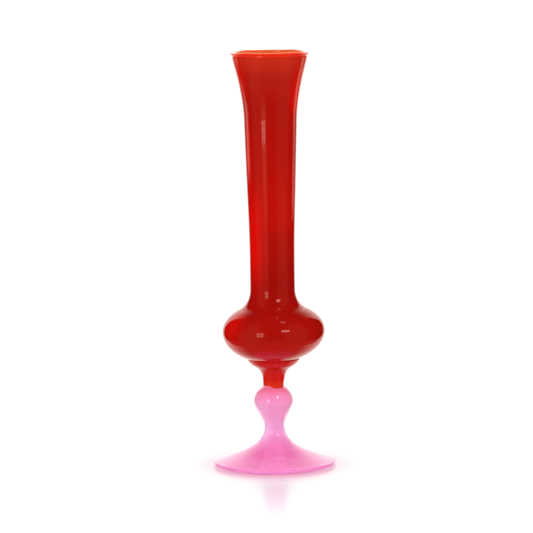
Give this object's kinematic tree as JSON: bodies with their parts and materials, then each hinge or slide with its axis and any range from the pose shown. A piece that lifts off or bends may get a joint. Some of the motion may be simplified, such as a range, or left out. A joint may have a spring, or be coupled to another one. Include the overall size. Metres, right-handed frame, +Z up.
{
  "type": "glass bud vase",
  "caption": "Tall bud vase in coloured glass: flared red neck, squat bulb, dish and short stem, pink knop and wide round foot, open at the mouth.",
  "frame": {"origin": "centre of the flat ring that the foot stands on, at table height", "axes": "+Z up along the vase's axis, from the foot to the mouth"},
  "size_m": [0.0884, 0.0884, 0.3],
  "materials": {
    "red_glass": "fire polished cased glass, opaque",
    "orange_glass": "fire polished lining glass, opaque",
    "lip_glass": "fire polished bead, opaque",
    "pink_glass": "fire polished opaline glass, opaque"
  },
  "bodies": {
    "root": {"foot": "pink_glass", "knop": "pink_glass", "stem_dish": "red_glass", "body_casing": "red_glass", "body_lining": "orange_glass", "lip_wrap": "lip_glass"}
  },
  "joints": []
}
